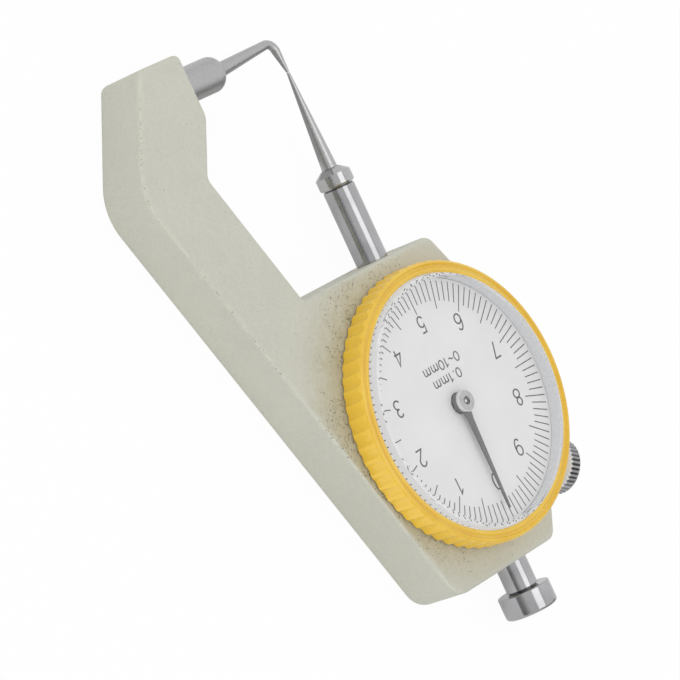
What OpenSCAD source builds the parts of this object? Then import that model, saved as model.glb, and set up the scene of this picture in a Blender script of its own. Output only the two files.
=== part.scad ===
// Dial caliper with a C-frame. A needle on a sprung spindle closes on a fixed bent probe,
// and a rack cut in the spindle turns the pointer of a dial, one turn for the whole travel.
// The part lies on its back: +Z is the dial normal, +Y runs along the spindle to the probes.
// The origin is on the back face, under the middle of the dial. All lengths are millimetres.

/* [Frame] */
// Thickness of the casting
frame_t = 8.2; // [7.8:0.1:10]
// Height of the body above the dial axis
body_up = 21.7; // [21.2:0.1:26]
// Depth of the body below the dial axis
body_down = 22.7; // [22.2:0.1:27]
// Radius of the round side of the body
case_r = 19.1; // [18.6:0.1:21]
// Slope of the upper right side of the body
side_lean_top = 26; // [20:1:34]
// Slope of the lower right side of the body, which carries the lock screw
side_lean_low = 30; // [24:1:36]
// Distance by which the lower right side stands inside the round side
low_side_in = 0.3; // [0:0.1:0.6]
// Distance of the left side from the dial axis
left_wall = 20.1; // [19:0.1:24]
// Width of the arm
arm_w = 11.5; // [9:0.1:14]
// Lean of the lower arm away from the spindle
arm_lean = 18.6; // [14:0.2:22]
// Lean of the upper arm back towards the spindle
head_lean = 31.5; // [26:0.5:38]
// Height at which the outer edges of the two arm stretches cross
bend_y = 42.7; // [40:0.1:46]
// Distance of the head's inner face from the dial axis
head_face = 18.4; // [17:0.1:20]
// Height of the end of the head
head_top = 57.7; // [57:0.1:64]
// Rounding of the casting's front and back edges
edge_r = 0.7; // [0.3:0.1:0.9]
// Thickness of the web under the dial
web_t = 1.3; // [1:0.1:1.5]
// Radius of the cavity behind the web
cavity_r = 14.6; // [14.2:0.1:15]

/* [Rear cover] */
// Radius of the cover
cover_r = 17.2; // [17:0.1:17.5]
// Thickness of the cover
cover_t = 0.8; // [0.6:0.1:0.9]
// Number of cover screws
cover_screws = 3; // [3:1:3]
// Thread diameter of the cover screws
cover_screw_d = 1.2; // [0.9:0.1:1.2]

/* [Bezel, dial and crystal] */
// Outer diameter of the bezel over its flutes
bezel_d = 39; // [38.6:0.2:42]
// Diameter of the opening in the bezel
opening_d = 35.4; // [35:0.1:36]
// Number of flutes round the bezel
flute_count = 64; // [48:1:72]
// Depth of the flutes
flute_depth = 0.35; // [0.15:0.01:0.4]
// Radius of the cutter of the flutes
flute_r = 1.1; // [0.9:0.05:1.6]
// Height of the bezel's rim over the dial
rim_rise = 2.2; // [1.9:0.1:2.6]
// Thickness of the dial plate
dial_t = 0.3; // [0.2:0.1:0.6]
// Room between the dial and the crystal
crystal_room = 2.1; // [1.7:0.05:2.4]
// Thickness of the crystal
crystal_t = 0.9; // [0.8:0.05:1.2]
// Height of the spigot that the bezel turns on
spigot_h = 0.9; // [0.9:0.1:1.4]

/* [Spindle] */
// Diameter of the spindle
spindle_d = 4.5; // [4.2:0.1:4.8]
// Measuring travel, which is one turn of the pointer
travel = 10; // [8:0.5:10]
// Distance of the rack's pitch line from the spindle axis
rack_line = 1.1; // [0.9:0.05:1.3]
// Length of spindle that shows between the body and the moving tip
rod_above = 11.1; // [10.4:0.1:13]
// Length of spindle that shows between the body and the pull button
rod_below = 4.4; // [3:0.1:8]
// Outer diameter of the spindle bushes
bush_d = 6; // [5.6:0.1:6.2]
// Length of the spindle bushes
bush_l = 6.1; // [5:0.1:6.3]
// Diameter of the guide pin
guide_pin_d = 1.2; // [1:0.1:1.3]

/* [Pull button] */
// Diameter of the button
button_d = 7.5; // [6:0.1:8]
// Thickness of the button
button_h = 3.3; // [2.6:0.1:4.5]
// Rounding of the button's outer edge
button_round = 0.5; // [0.2:0.1:0.8]

/* [Measuring tips] */
// Distance of the measuring point from the dial axis
point_y = 49.5; // [47:0.1:51]
// Sideways shift of the measuring point from the spindle axis
point_shift = 0.45; // [0:0.05:0.6]
// Diameter of the flat at each point
point_d = 0.45; // [0.3:0.05:0.7]
// Diameter of the moving tip's collar
collar_d = 5; // [4:0.1:5.4]
// Length of the collar with its cone
collar_h = 2.7; // [2:0.1:3.4]
// Diameter of the needle where it leaves the collar
needle_d = 2.25; // [1.4:0.05:2.6]
// Diameter of the fixed tip's holder
holder_d = 4.9; // [4.2:0.1:5.6]
// Length of the holder outside the head
holder_l = 8.9; // [6:0.05:11]
// Distance of the holder's axis from the end of the head
holder_inset = 4.25; // [3.6:0.05:4.6]
// Diameter of the probe at the holder
shank_d = 2.15; // [1.6:0.05:2.6]
// Diameter of the probe at its bend
bend_d = 1.2; // [0.9:0.05:1.5]
// Radius of the bend along the middle of the wire
bend_r = 1.5; // [1.2:0.1:2.2]
// Upward lean of the probe from the holder to the bend
shank_lean = 3.4; // [0:0.2:4]

/* [Pointer and pinion] */
// Number of pinion teeth
pinion_teeth = 16; // [14:1:18]
// Width of the pinion
pinion_w = 2.8; // [2:0.1:3]
// Diameter of the pointer hub
hub_d = 3.1; // [2.4:0.1:3.8]
// Height of the pointer hub over the dial
hub_rise = 1.5; // [1.2:0.05:1.6]
// Reach of the pointer from its axis
pointer_l = 15.5; // [12:0.1:16]
// Width of the pointer at the hub
pointer_w = 1; // [0.8:0.05:1.8]
// Angle of the pointer past zero when the caliper is shut
pointer_rest = 0.8; // [0:0.1:3]
// Thickness of the pointer
pointer_t = 0.25; // [0.15:0.05:0.3]

/* [Lock screw] */
// Diameter of the knurled head
knob_d = 7.6; // [6.4:0.1:7.8]
// Length of the knurled head
knob_h = 2.9; // [2.2:0.1:4]
// Length of the neck between the body and the head
neck_l = 3.5; // [3:0.1:6]
// Number of grooves in the knurl
knurl_count = 36; // [24:1:44]
// Sideways distance of the screw axis from the dial axis
lock_offset = 3.6; // [3:0.1:4.2]
// Diameter of the screw's thread
lock_d = 3; // [2.4:0.1:3.4]

/* [Clearances] */
// Radial running clearance of the spindle and the arbor
run_fit = 0.03; // [0.02:0.01:0.06]
// Radial running clearance of the bezel on its spigot
bezel_fit = 0.06; // [0.03:0.01:0.09]
// Gap between pieces that pass each other
pass_gap = 0.15; // [0.1:0.05:0.3]
// Gap between the measuring points when the caliper is shut
point_gap = 0.04; // [0.02:0.01:0.1]
// Gap round pieces that drop into a recess
seat_gap = 0.06; // [0.03:0.01:0.1]

/* [Hidden] */
$fn = 64;
// Reach of a cutter past the face that it cuts
over = 1;

// Heights of the stack over the back face
axis_z = frame_t / 2;
cavity_z = frame_t - web_t;
bezel_z = frame_t + pass_gap;
flange_gap = 0.1;
flange_z = frame_t + spigot_h + flange_gap;
flange_t = 0.3;
dial_z = flange_z + flange_t;
dial_top = dial_z + dial_t;
rim_z = dial_top + rim_rise;
glass_z = dial_top + crystal_room;

// Rack and pinion, one pinion turn for the whole travel
tooth_pitch = travel / pinion_teeth;
tooth_module = tooth_pitch / PI;
pitch_r = travel / (2 * PI);
pressure_angle = 20;
addendum = 0.9 * tooth_module;
dedendum = 1.2 * tooth_module;
backlash = 0.08;
spindle_r = spindle_d / 2;
spindle_x = pitch_r + rack_line;
rack_tip_x = pitch_r - addendum;
rack_root_x = pitch_r + dedendum;
rack_run = 2.2;

// Ends of the spindle and of what it carries
rod_top = body_up + rod_above;
rod_bottom = -body_down - rod_below;
stud_d = 2.2;
stud_l = 4;
button_stud_d = 3;
button_floor = 1;
button_stud_l = button_h - button_floor;
end_chamfer = 0.25;

// Guide pin, slotted guide and return spring, left of the spindle
pin_y = -2.9;
pin_seat = 1.25;
pin_end_x = -6.3;
guide_x = -3;
guide_t = 1.2;
guide_wall = 1;
guide_foot_w = 3.6;
guide_foot_t = 0.8;
guide_screw_d = 1.2;
guide_screw_bite = 1;
guide_screw_l = guide_foot_t + guide_screw_bite;
spring_x = -5.6;
post_inset = 3.2;
spring_post_y = cavity_r - post_inset;
post_bite = 0.9;
post_drop = 0.7;
coil_r = 1.05;
wire_d = 0.3;
coil_turns = 17.75;
coil_rings = 8;
wire_sides = 6;

// Pointer arbor and the cock that holds its lower pivot
arbor_r = 0.9;
pivot_r = 0.4;
journal_r = 0.6;
cock_gap = 0.3;
cock_z = cover_t + cock_gap;
cock_t = 0.9;
cock_tip_r = 1.35;
cock_root_x = -8.2;
cock_root_w = 8;
cock_inset = 0.8;
cock_screw_d = 1.2;
cock_screw_x = -10.4;
cock_screw_y = 2.3;
cock_screw_bite = 3;
cock_screw_l = cock_t + cock_screw_bite;
arbor_bush_r = 1.3;
arbor_flange_r = 1.8;
arbor_flange_t = 0.3;
low_bush_r = 0.9;
arbor_bush_rise = 0.7;

// Bezel, spigot and snap ring
bezel_r = bezel_d / 2;
opening_r = opening_d / 2;
spigot_r = 16.9;
spigot_wall = 1.4;
flange_r = 15.8;
ring_h = 0.3;
ring_rise = 0.3;
ring_z = frame_t + ring_rise;
ring_in = 0.35;
ring_out = 0.35;
ring_gap_angle = 14;
ledge_w = 0.3;
wall_r = opening_r - ledge_w;
foot_h = 0.4;
foot_z = glass_z - foot_h;
glue_t = 0.02;
crystal_round = 0.85;
dial_hole_r = 1.5;

// Lock screw along a slanted axis
knob_r = knob_d / 2;
knob_chamfer = 0.8;
neck_r = 1.7;
lock_stem_r = 1.1;
lock_tip_r = 0.9;
lock_tip_end_r = 0.35;
lock_tip_cone = 0.5;
lock_tip_l = 1.2;
lock_tip_stud_l = 1.5;
lock_tip_gap = 0.25;
lock_reach = (spindle_x + spindle_r + lock_tip_gap + (lock_offset + lock_tip_end_r) * sin(side_lean_low))
    / cos(side_lean_low);

// Cavity pocket for the guide and the cover screws round the cavity
pocket_r = 16;
pocket_left = -7.2;
pocket_right = 5.8;
bore_lead = 1.2;
cover_screw_inset = 1.3;
cover_screw_pcr = cover_r - cover_screw_inset;
cover_boss_r = 1.5;
cover_screw_turn = 180;
cover_screw_depth = 3;
holder_y = head_top - holder_inset;
holder_stud_d = 3;
holder_stud_l = 6.5;

// Outline of the casting: each side is the angle of its outward normal and its distance
function meet(a, b) =
    let (k = sin(b[0] - a[0]))
    [(a[1] * sin(b[0]) - b[1] * sin(a[0])) / k, (b[1] * cos(a[0]) - a[1] * cos(b[0])) / k];
bend_point = [(-left_wall - sin(arm_lean) * bend_y) / cos(arm_lean), bend_y];
head_wall = -cos(head_lean) * bend_point[0] + sin(head_lean) * bend_y;
SIDES = [
    [270, body_down], [-side_lean_low, case_r - low_side_in], [side_lean_top, case_r], [90, body_up],
    [arm_lean, arm_w - left_wall], [-head_lean, arm_w - head_wall], [0, -head_face],
    [90, head_top], [180 - head_lean, head_wall], [180 + arm_lean, left_wall]
];
// Corner radii in the same order, negative where the corner is hollow
ROUNDS = [2, case_r, 2, -1, -1.5, 2.2, 1, 1.6, 8.1, 3.9];
corner_steps = 8;

function unit(v) = v / norm(v);
function corner_arc(before, corner, after, r) =
    let (a = unit(before - corner), b = unit(after - corner),
         half = acos(a * b) / 2,
         centre = corner + unit(a + b) * r / sin(half),
         from = corner + a * r / tan(half) - centre,
         to = corner + b * r / tan(half) - centre,
         start = atan2(from[1], from[0]),
         sweep = (atan2(to[1], to[0]) - start + 540) % 360 - 180)
    [for (k = [0:corner_steps]) centre + r * [cos(start + sweep * k / corner_steps),
                                              sin(start + sweep * k / corner_steps)]];
// The outline drawn in by a distance, always with the same number of points
function outline(inset) =
    let (n = len(SIDES),
         sides = [for (s = SIDES) [s[0], s[1] - inset]],
         corners = [for (i = [0:n - 1]) meet(sides[i], sides[(i + 1) % n])])
    [for (i = [0:n - 1])
        each corner_arc(corners[(i + n - 1) % n], corners[i], corners[(i + 1) % n],
                        ROUNDS[i] > 0 ? ROUNDS[i] - inset : inset - ROUNDS[i])];

// Points of one corner of the outline, by their place in the ring
per_corner = corner_steps + 1;
function corner_ids(c, from = 0, to = corner_steps) = [for (k = [from:to]) c * per_corner + k];
function fan(apex, chain) = [for (i = [0:len(chain) - 2]) [apex, chain[i], chain[i + 1]]];

// The casting is a stack of rings, rounded at both faces. Each face is two fans of triangles,
// one from the low left corner over the body and one from the outer bend over the arm and head.
module casting() {
    low_right = 0;
    round_side = 1;
    top_right = 2;
    throat = 3;
    elbow = 4;
    chin = 5;
    head_right = 6;
    head_left = 7;
    bend = 8;
    low_left = 9;
    bend_mid = floor(corner_steps / 2);
    steps = [0, 30, 60, 90];
    layers = concat(
        [for (a = steps) [edge_r * (1 - sin(a)), edge_r * (1 - cos(a))]],
        [for (a = steps) [edge_r * (1 - cos(a)), frame_t - edge_r * (1 - sin(a))]]);
    rings = [for (s = layers) [for (p = outline(s[0])) [p[0], p[1], s[1]]]];
    n = len(rings[0]);
    top = (len(rings) - 1) * n;
    body_chain = concat(
        corner_ids(low_left, 1), corner_ids(low_right), corner_ids(round_side),
        corner_ids(top_right), corner_ids(throat));
    head_chain = concat(
        corner_ids(bend, bend_mid + 1), corner_ids(low_left, 0, 0),
        corner_ids(throat, corner_steps), corner_ids(elbow), corner_ids(chin),
        corner_ids(head_right), corner_ids(head_left), corner_ids(bend, 0, bend_mid - 1));
    face = concat(
        fan(low_left * per_corner, body_chain), fan(bend * per_corner + bend_mid, head_chain));
    walls = [for (k = [0:len(rings) - 2], i = [0:n - 1])
        let (j = (i + 1) % n, a = k * n + i, b = k * n + j)
        each [[a, a + n, b + n], [a, b + n, b]]];
    polyhedron(
        points = [for (r = rings) each r],
        faces = concat(face, [for (t = face) [t[0] + top, t[2] + top, t[1] + top]], walls));
}

// A piece on the spindle axis, drawn upright, with its foot at height y
module on_spindle(y = 0) {
    translate([spindle_x, y, axis_z]) rotate([-90, 0, 0]) children();
}
// A piece on the lock screw axis, drawn upright, with its foot at a distance from the dial axis
module on_lock(s = 0) {
    rotate([0, 0, -side_lean_low]) translate([s, -lock_offset, axis_z]) rotate([0, 90, 0]) children();
}
module at_cover_screws() {
    for (i = [0:cover_screws - 1])
        rotate([0, 0, cover_screw_turn + i * 360 / cover_screws])
            translate([cover_screw_pcr, 0, 0]) children();
}
module at_cock_screws() {
    for (side = [-1, 1])
        translate([cock_screw_x, side * cock_screw_y, cock_z]) children();
}
guide_low = pin_y - travel - guide_pin_d / 2 - pass_gap;
guide_high = pin_y + guide_pin_d / 2 + pass_gap;
guide_len = guide_high - guide_low;
guide_screw_x = guide_x - guide_foot_w / 2;
module at_guide_screws() {
    for (share = [0.25, 0.75])
        translate([guide_screw_x, guide_low + share * guide_len, cavity_z - guide_foot_t]) children();
}
// Countersunk slotted screw, head flush at z = 0, shank upwards
screw_head = 1.8;
module flat_screw(d, length) {
    head_d = screw_head * d;
    head_h = (head_d - d) / 2;
    slot_w = d / 4;
    difference() {
        union() {
            cylinder(d1 = head_d, d2 = d, h = head_h);
            cylinder(d = d, h = length);
        }
        translate([-head_d, -slot_w / 2, -over]) cube([2 * head_d, slot_w, over + head_h / 2]);
    }
}
module flat_screw_hole(d, length) {
    head_d = screw_head * d;
    translate([0, 0, -over]) cylinder(d = head_d, h = over);
    cylinder(d1 = head_d, d2 = d, h = (head_d - d) / 2);
    cylinder(d = d, h = length);
}

module frame() {
    pillar_x = cock_root_x - cavity_r;
    color([0.77, 0.77, 0.72]) difference() {
        union() {
            difference() {
                union() {
                    casting();
                    translate([0, 0, cavity_z]) cylinder(r = spigot_r, h = web_t + spigot_h);
                }
                translate([0, 0, -over]) cylinder(r = cavity_r, h = cavity_z + over);
                intersection() {
                    translate([0, 0, -over]) cylinder(r = pocket_r, h = cavity_z + over);
                    translate([pocket_left, -2 * pocket_r, -over])
                        cube([pocket_right - pocket_left, 2 * pocket_r, cavity_z + over]);
                }
                translate([0, 0, frame_t]) cylinder(r = spigot_r - spigot_wall, h = spigot_h + over);
            }
            at_cover_screws() cylinder(r = cover_boss_r, h = cavity_z + web_t / 2);
            // Pillar for the cock, grown from the cavity wall
            intersection() {
                cylinder(r = cavity_r + over, h = cavity_z + web_t / 2);
                translate([pillar_x, -cock_root_w / 2, cock_z + cock_t])
                    cube([cavity_r, cock_root_w, cavity_z - cock_z - cock_t + web_t / 2]);
            }
        }
        translate([0, 0, -over]) cylinder(r = cover_r + seat_gap, h = cover_t + over);
        at_cover_screws() cylinder(d = cover_screw_d, h = cover_screw_depth);
        at_cock_screws() cylinder(d = cock_screw_d, h = cock_screw_l);
        at_guide_screws() cylinder(d = guide_screw_d, h = guide_screw_l);
        translate([spring_x, spring_post_y, cavity_z - over])
            cylinder(d = guide_pin_d, h = over + post_bite);
        cylinder(r = arbor_bush_r, h = frame_t + over);
        on_spindle(cavity_r - bore_lead)
            cylinder(d = bush_d, h = body_up - cavity_r + bore_lead + over);
        on_spindle(-body_down - over)
            cylinder(d = bush_d, h = body_down - cavity_r + bore_lead + over);
        translate([-head_face + over, holder_y, axis_z]) rotate([0, -90, 0])
            cylinder(d = holder_stud_d, h = holder_stud_l + over);
        on_lock(cavity_r - bore_lead)
            cylinder(r = lock_d / 2 + run_fit, h = case_r - cavity_r + bore_lead + over);
        // Groove of the snap ring
        translate([0, 0, ring_z - pass_gap]) difference() {
            cylinder(r = spigot_r + over, h = ring_h + 2 * pass_gap);
            translate([0, 0, -over])
                cylinder(r = spigot_r - ring_in - pass_gap, h = ring_h + 2 * pass_gap + 2 * over);
        }
    }
}

module rear_cover() {
    color([0.72, 0.72, 0.68]) difference() {
        cylinder(r = cover_r, h = cover_t);
        at_cover_screws() flat_screw_hole(cover_screw_d, cover_t + over);
    }
}
module rear_cover_screws() {
    color([0.7, 0.7, 0.7]) at_cover_screws() flat_screw(cover_screw_d, cover_screw_depth);
}

module spindle_bush() {
    difference() {
        cylinder(d = bush_d, h = bush_l);
        translate([0, 0, -over]) cylinder(r = spindle_r + run_fit, h = bush_l + 2 * over);
    }
}
module upper_bush() {
    color([0.8, 0.68, 0.38]) on_spindle(body_up - bush_l) spindle_bush();
}
module lower_bush() {
    color([0.8, 0.68, 0.38]) on_spindle(-body_down) spindle_bush();
}

// Gap between two rack teeth, narrower at its root
module rack_gap() {
    half = (tooth_pitch + backlash) / 4;
    flare = tan(pressure_angle);
    polygon([
        [rack_root_x, half - dedendum * flare], [rack_root_x, -half + dedendum * flare],
        [rack_tip_x - addendum, -half - 2 * addendum * flare],
        [rack_tip_x - addendum, half + 2 * addendum * flare]
    ]);
}
module spindle() {
    first_gap = -ceil(rack_run / 2 / tooth_pitch);
    last_gap = pinion_teeth - first_gap;
    color([0.78, 0.78, 0.8]) difference() {
        union() {
            on_spindle(rod_bottom) {
                cylinder(r1 = spindle_r - end_chamfer, r2 = spindle_r, h = end_chamfer);
                translate([0, 0, end_chamfer])
                    cylinder(r = spindle_r, h = rod_top - rod_bottom - 2 * end_chamfer);
            }
            on_spindle(rod_top - end_chamfer)
                cylinder(r1 = spindle_r, r2 = spindle_r - end_chamfer, h = end_chamfer);
            on_spindle(rod_bottom - button_stud_l) cylinder(d = button_stud_d, h = button_stud_l);
        }
        on_spindle(rod_top - stud_l) cylinder(d = stud_d, h = stud_l + over);
        translate([spindle_x - 2 * spindle_r, -rack_run, 0])
            cube([rack_tip_x - spindle_x + 2 * spindle_r, travel + 2 * rack_run, frame_t]);
        for (i = [first_gap:last_gap])
            translate([0, i * tooth_pitch, 0]) linear_extrude(frame_t) rack_gap();
        translate([spindle_x - spindle_r + pin_seat, pin_y, axis_z]) rotate([0, -90, 0])
            cylinder(d = guide_pin_d, h = pin_seat + over);
    }
}

module moving_tip() {
    collar_r = collar_d / 2;
    cone_h = 0.95;
    fillet_r = 0.3;
    fillet_h = 0.15;
    needle_top = point_y - point_gap / 2 - rod_top;
    needle_l = needle_top - collar_h;
    needle_lean = atan(point_shift / needle_l);
    root_sink = 0.3;
    color([0.72, 0.72, 0.73]) on_spindle(rod_top) {
        rotate_extrude() polygon([
            [0, -stud_l], [stud_d / 2, -stud_l], [stud_d / 2, 0],
            [collar_r - end_chamfer, 0], [collar_r, end_chamfer],
            [collar_r, collar_h - cone_h], [needle_d / 2 + fillet_r, collar_h - fillet_h],
            [needle_d / 2, collar_h], [0, collar_h]
        ]);
        // The needle leans a little, so its end flat stays square to its own axis
        translate([0, 0, collar_h]) rotate([0, needle_lean, 0]) translate([0, 0, -root_sink])
            cylinder(d1 = needle_d, d2 = point_d, h = needle_l * cos(needle_lean) + root_sink);
    }
}

// Quarter round in a profile, from one angle to another
function round_points(centre, r, from, to, steps = 6) =
    [for (k = [0:steps]) let (a = from + (to - from) * k / steps) centre + r * [cos(a), sin(a)]];

module pull_button() {
    r = button_d / 2;
    e = button_round;
    inner_e = 0.15;
    color([0.78, 0.78, 0.8]) on_spindle(rod_bottom - button_h) difference() {
        rotate_extrude() polygon(concat(
            [[0, 0]],
            round_points([r - e, e], e, -90, 0),
            round_points([r - inner_e, button_h - inner_e], inner_e, 0, 90, 2),
            [[0, button_h]]));
        translate([0, 0, button_h - button_stud_l]) cylinder(d = button_stud_d, h = button_stud_l + over);
    }
}

module guide_pin() {
    foot_x = spindle_x - spindle_r + pin_seat;
    color([0.6, 0.6, 0.62]) translate([foot_x, pin_y, axis_z]) rotate([0, -90, 0])
        cylinder(d = guide_pin_d, h = foot_x - pin_end_x);
}

// Slotted plate that the guide pin runs in, with a foot under the web
module spindle_guide() {
    slot_h = guide_pin_d + 2 * run_fit;
    plate_low = axis_z - slot_h / 2 - guide_wall;
    color([0.8, 0.68, 0.38]) difference() {
        translate([0, guide_low - guide_wall, 0]) union() {
            translate([guide_x, 0, plate_low])
                cube([guide_t, guide_len + 2 * guide_wall, cavity_z - plate_low]);
            translate([guide_x - guide_foot_w, guide_wall, cavity_z - guide_foot_t])
                cube([guide_foot_w + guide_t / 2, guide_len, guide_foot_t]);
        }
        translate([guide_x - over, guide_low, axis_z - slot_h / 2])
            cube([guide_t + 2 * over, guide_len, slot_h]);
        at_guide_screws() flat_screw_hole(guide_screw_d, guide_foot_t + over);
    }
}
module guide_screws() {
    color([0.7, 0.7, 0.7]) at_guide_screws() flat_screw(guide_screw_d, guide_screw_l);
}

// Return spring: an open-wound coil with a half-round hook at each end
spring_low = pin_y - guide_pin_d / 2 + coil_r - wire_d / 2;
spring_high = spring_post_y + guide_pin_d / 2 - coil_r + wire_d / 2;
coil_pitch = (spring_high - spring_low) / coil_turns;
function coil_point(t, r, side) =
    let (a = 90 + 360 * t, rr = r + wire_d / 2 * cos(side))
    [rr * cos(a), coil_pitch * t + wire_d / 2 * sin(side), rr * sin(a)];
module coil() {
    n = round(coil_turns * coil_rings);
    s = wire_sides;
    polyhedron(
        points = [for (k = [0:n], j = [0:s - 1]) coil_point(coil_turns * k / n, coil_r, 360 * j / s)],
        faces = concat(
            [[for (j = [0:s - 1]) j]],
            [[for (j = [s - 1:-1:0]) n * s + j]],
            [for (k = [0:n - 1], j = [0:s - 1])
                let (a = k * s + j, b = k * s + (j + 1) % s) [a, a + s, b + s]],
            [for (k = [0:n - 1], j = [0:s - 1])
                let (a = k * s + j, b = k * s + (j + 1) % s) [a, b + s, b]]));
}
module half_hook() {
    rotate_extrude(angle = 180) translate([coil_r, 0]) circle(d = wire_d, $fn = 16);
}
echo(least_gap_of_the_spring_to_itself = coil_pitch - wire_d);
module return_spring() {
    color([0.65, 0.65, 0.66]) translate([spring_x, spring_low, axis_z]) {
        coil();
        rotate([0, 90, 0]) rotate([0, 0, 180]) half_hook();
        translate([0, spring_high - spring_low, 0]) half_hook();
    }
}
module spring_post() {
    post_low = axis_z - post_drop;
    color([0.6, 0.6, 0.62]) translate([spring_x, spring_post_y, post_low])
        cylinder(d = guide_pin_d, h = cavity_z + post_bite - post_low);
}

// Involute pinion: half the angle of a tooth at a radius
base_r = pitch_r * cos(pressure_angle);
function roll(r) = let (a = acos(min(1, base_r / r))) tan(a) - a * PI / 180;
function tooth_half(r) =
    ((tooth_pitch - backlash) / (4 * pitch_r) + roll(pitch_r) - roll(r)) * 180 / PI;
module pinion_profile() {
    tip_r = pitch_r + addendum;
    root_r = pitch_r - dedendum;
    flank_steps = 4;
    radii = concat([root_r], [for (k = [0:flank_steps]) base_r + (tip_r - base_r) * k / flank_steps]);
    last = len(radii) - 1;
    polygon([for (t = [0:pinion_teeth - 1])
        let (mid = t * 360 / pinion_teeth)
        each concat(
            [for (k = [0:last]) let (a = mid - tooth_half(radii[k])) radii[k] * [cos(a), sin(a)]],
            [for (k = [last:-1:0]) let (a = mid + tooth_half(radii[k])) radii[k] * [cos(a), sin(a)]])]);
}
pivot_end = cock_z + pass_gap;
shoulder_low = cock_z + cock_t + pass_gap;
shoulder_high = cavity_z - arbor_flange_t - pass_gap;
arbor_sink = 0.2;
arbor_end = dial_top + hub_rise - arbor_sink;
module pinion_arbor() {
    color([0.75, 0.75, 0.77]) {
        translate([0, 0, pivot_end]) cylinder(r = pivot_r, h = axis_z - pivot_end);
        translate([0, 0, shoulder_low]) cylinder(r = arbor_r, h = shoulder_high - shoulder_low);
        translate([0, 0, axis_z]) cylinder(r = journal_r, h = arbor_end - axis_z);
        translate([0, 0, axis_z - pinion_w / 2]) linear_extrude(pinion_w) pinion_profile();
    }
}
module pinion_cock() {
    // The root ends clear of the cavity wall and of the nearest cover screw's boss
    root_end = max(-cavity_r + cock_inset, -cover_screw_pcr + cover_boss_r + cock_gap);
    color([0.8, 0.68, 0.38]) translate([0, 0, cock_z]) difference() {
        union() {
            cylinder(r = cock_tip_r, h = cock_t);
            linear_extrude(cock_t) polygon([
                [0, cock_tip_r], [0, -cock_tip_r],
                [cock_root_x, -cock_root_w / 2], [root_end, -cock_root_w / 2],
                [root_end, cock_root_w / 2], [cock_root_x, cock_root_w / 2]
            ]);
        }
        translate([0, 0, -over]) cylinder(r = low_bush_r, h = cock_t + 2 * over);
        translate([0, 0, -cock_z]) at_cock_screws() flat_screw_hole(cock_screw_d, cock_t + over);
    }
}
module cock_screws() {
    color([0.7, 0.7, 0.7]) at_cock_screws() flat_screw(cock_screw_d, cock_screw_l);
}
module lower_arbor_bush() {
    color([0.85, 0.72, 0.4]) translate([0, 0, cock_z]) difference() {
        cylinder(r = low_bush_r, h = cock_t);
        translate([0, 0, -over]) cylinder(r = pivot_r + run_fit, h = cock_t + 2 * over);
    }
}
module upper_arbor_bush() {
    flange_low = cavity_z - arbor_flange_t;
    color([0.85, 0.72, 0.4]) difference() {
        union() {
            translate([0, 0, flange_low]) cylinder(r = arbor_flange_r, h = arbor_flange_t);
            translate([0, 0, flange_low]) cylinder(r = arbor_bush_r, h = web_t + arbor_bush_rise);
        }
        cylinder(r = journal_r + run_fit, h = frame_t + spigot_h);
    }
}

blade_rise = 0.6;
blade_z = dial_top + blade_rise;
hub_wall = 0.4;
hub_stem_r = journal_r + hub_wall;
hub_step = 0.15;
module pointer() {
    neck_run = 1;
    neck_y = -hub_d / 2 - neck_run;
    root_half = 0.8 * pointer_w;
    tip_half = 0.1;
    color([0.3, 0.3, 0.31]) translate([0, 0, blade_z]) rotate([0, 0, -pointer_rest]) difference() {
        union() {
            cylinder(r = hub_d / 2 - hub_step, h = pointer_t);
            linear_extrude(pointer_t) polygon([
                [-root_half, -hub_d / 4], [-pointer_w / 2, neck_y], [-tip_half, -pointer_l],
                [tip_half, -pointer_l], [pointer_w / 2, neck_y], [root_half, -hub_d / 4]
            ]);
        }
        translate([0, 0, -over]) cylinder(r = hub_stem_r, h = pointer_t + 2 * over);
    }
}
// The hub is a stem under a round cap, and the pointer is held between them
module pointer_hub() {
    foot_z = dial_top + pass_gap;
    cap_z = blade_z + pointer_t;
    cap_h = dial_top + hub_rise - cap_z;
    round_r = 0.25;
    color([0.55, 0.55, 0.56]) difference() {
        union() {
            translate([0, 0, foot_z]) cylinder(r = hub_d / 2 - hub_step, h = blade_z - foot_z);
            translate([0, 0, foot_z]) cylinder(r = hub_stem_r, h = cap_z - foot_z);
            translate([0, 0, cap_z]) rotate_extrude() polygon(concat(
                [[0, 0], [hub_d / 2, 0]],
                round_points([hub_d / 2 - round_r, cap_h - round_r], round_r, 0, 90),
                [[0, cap_h]]));
        }
        translate([0, 0, foot_z - over]) cylinder(r = journal_r, h = hub_rise + 2 * over);
    }
}

module dial_plate() {
    color([0.9, 0.9, 0.9]) translate([0, 0, dial_z]) difference() {
        cylinder(r = wall_r - seat_gap, h = dial_t);
        translate([0, 0, -over]) cylinder(r = dial_hole_r, h = dial_t + 2 * over);
    }
}

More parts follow.
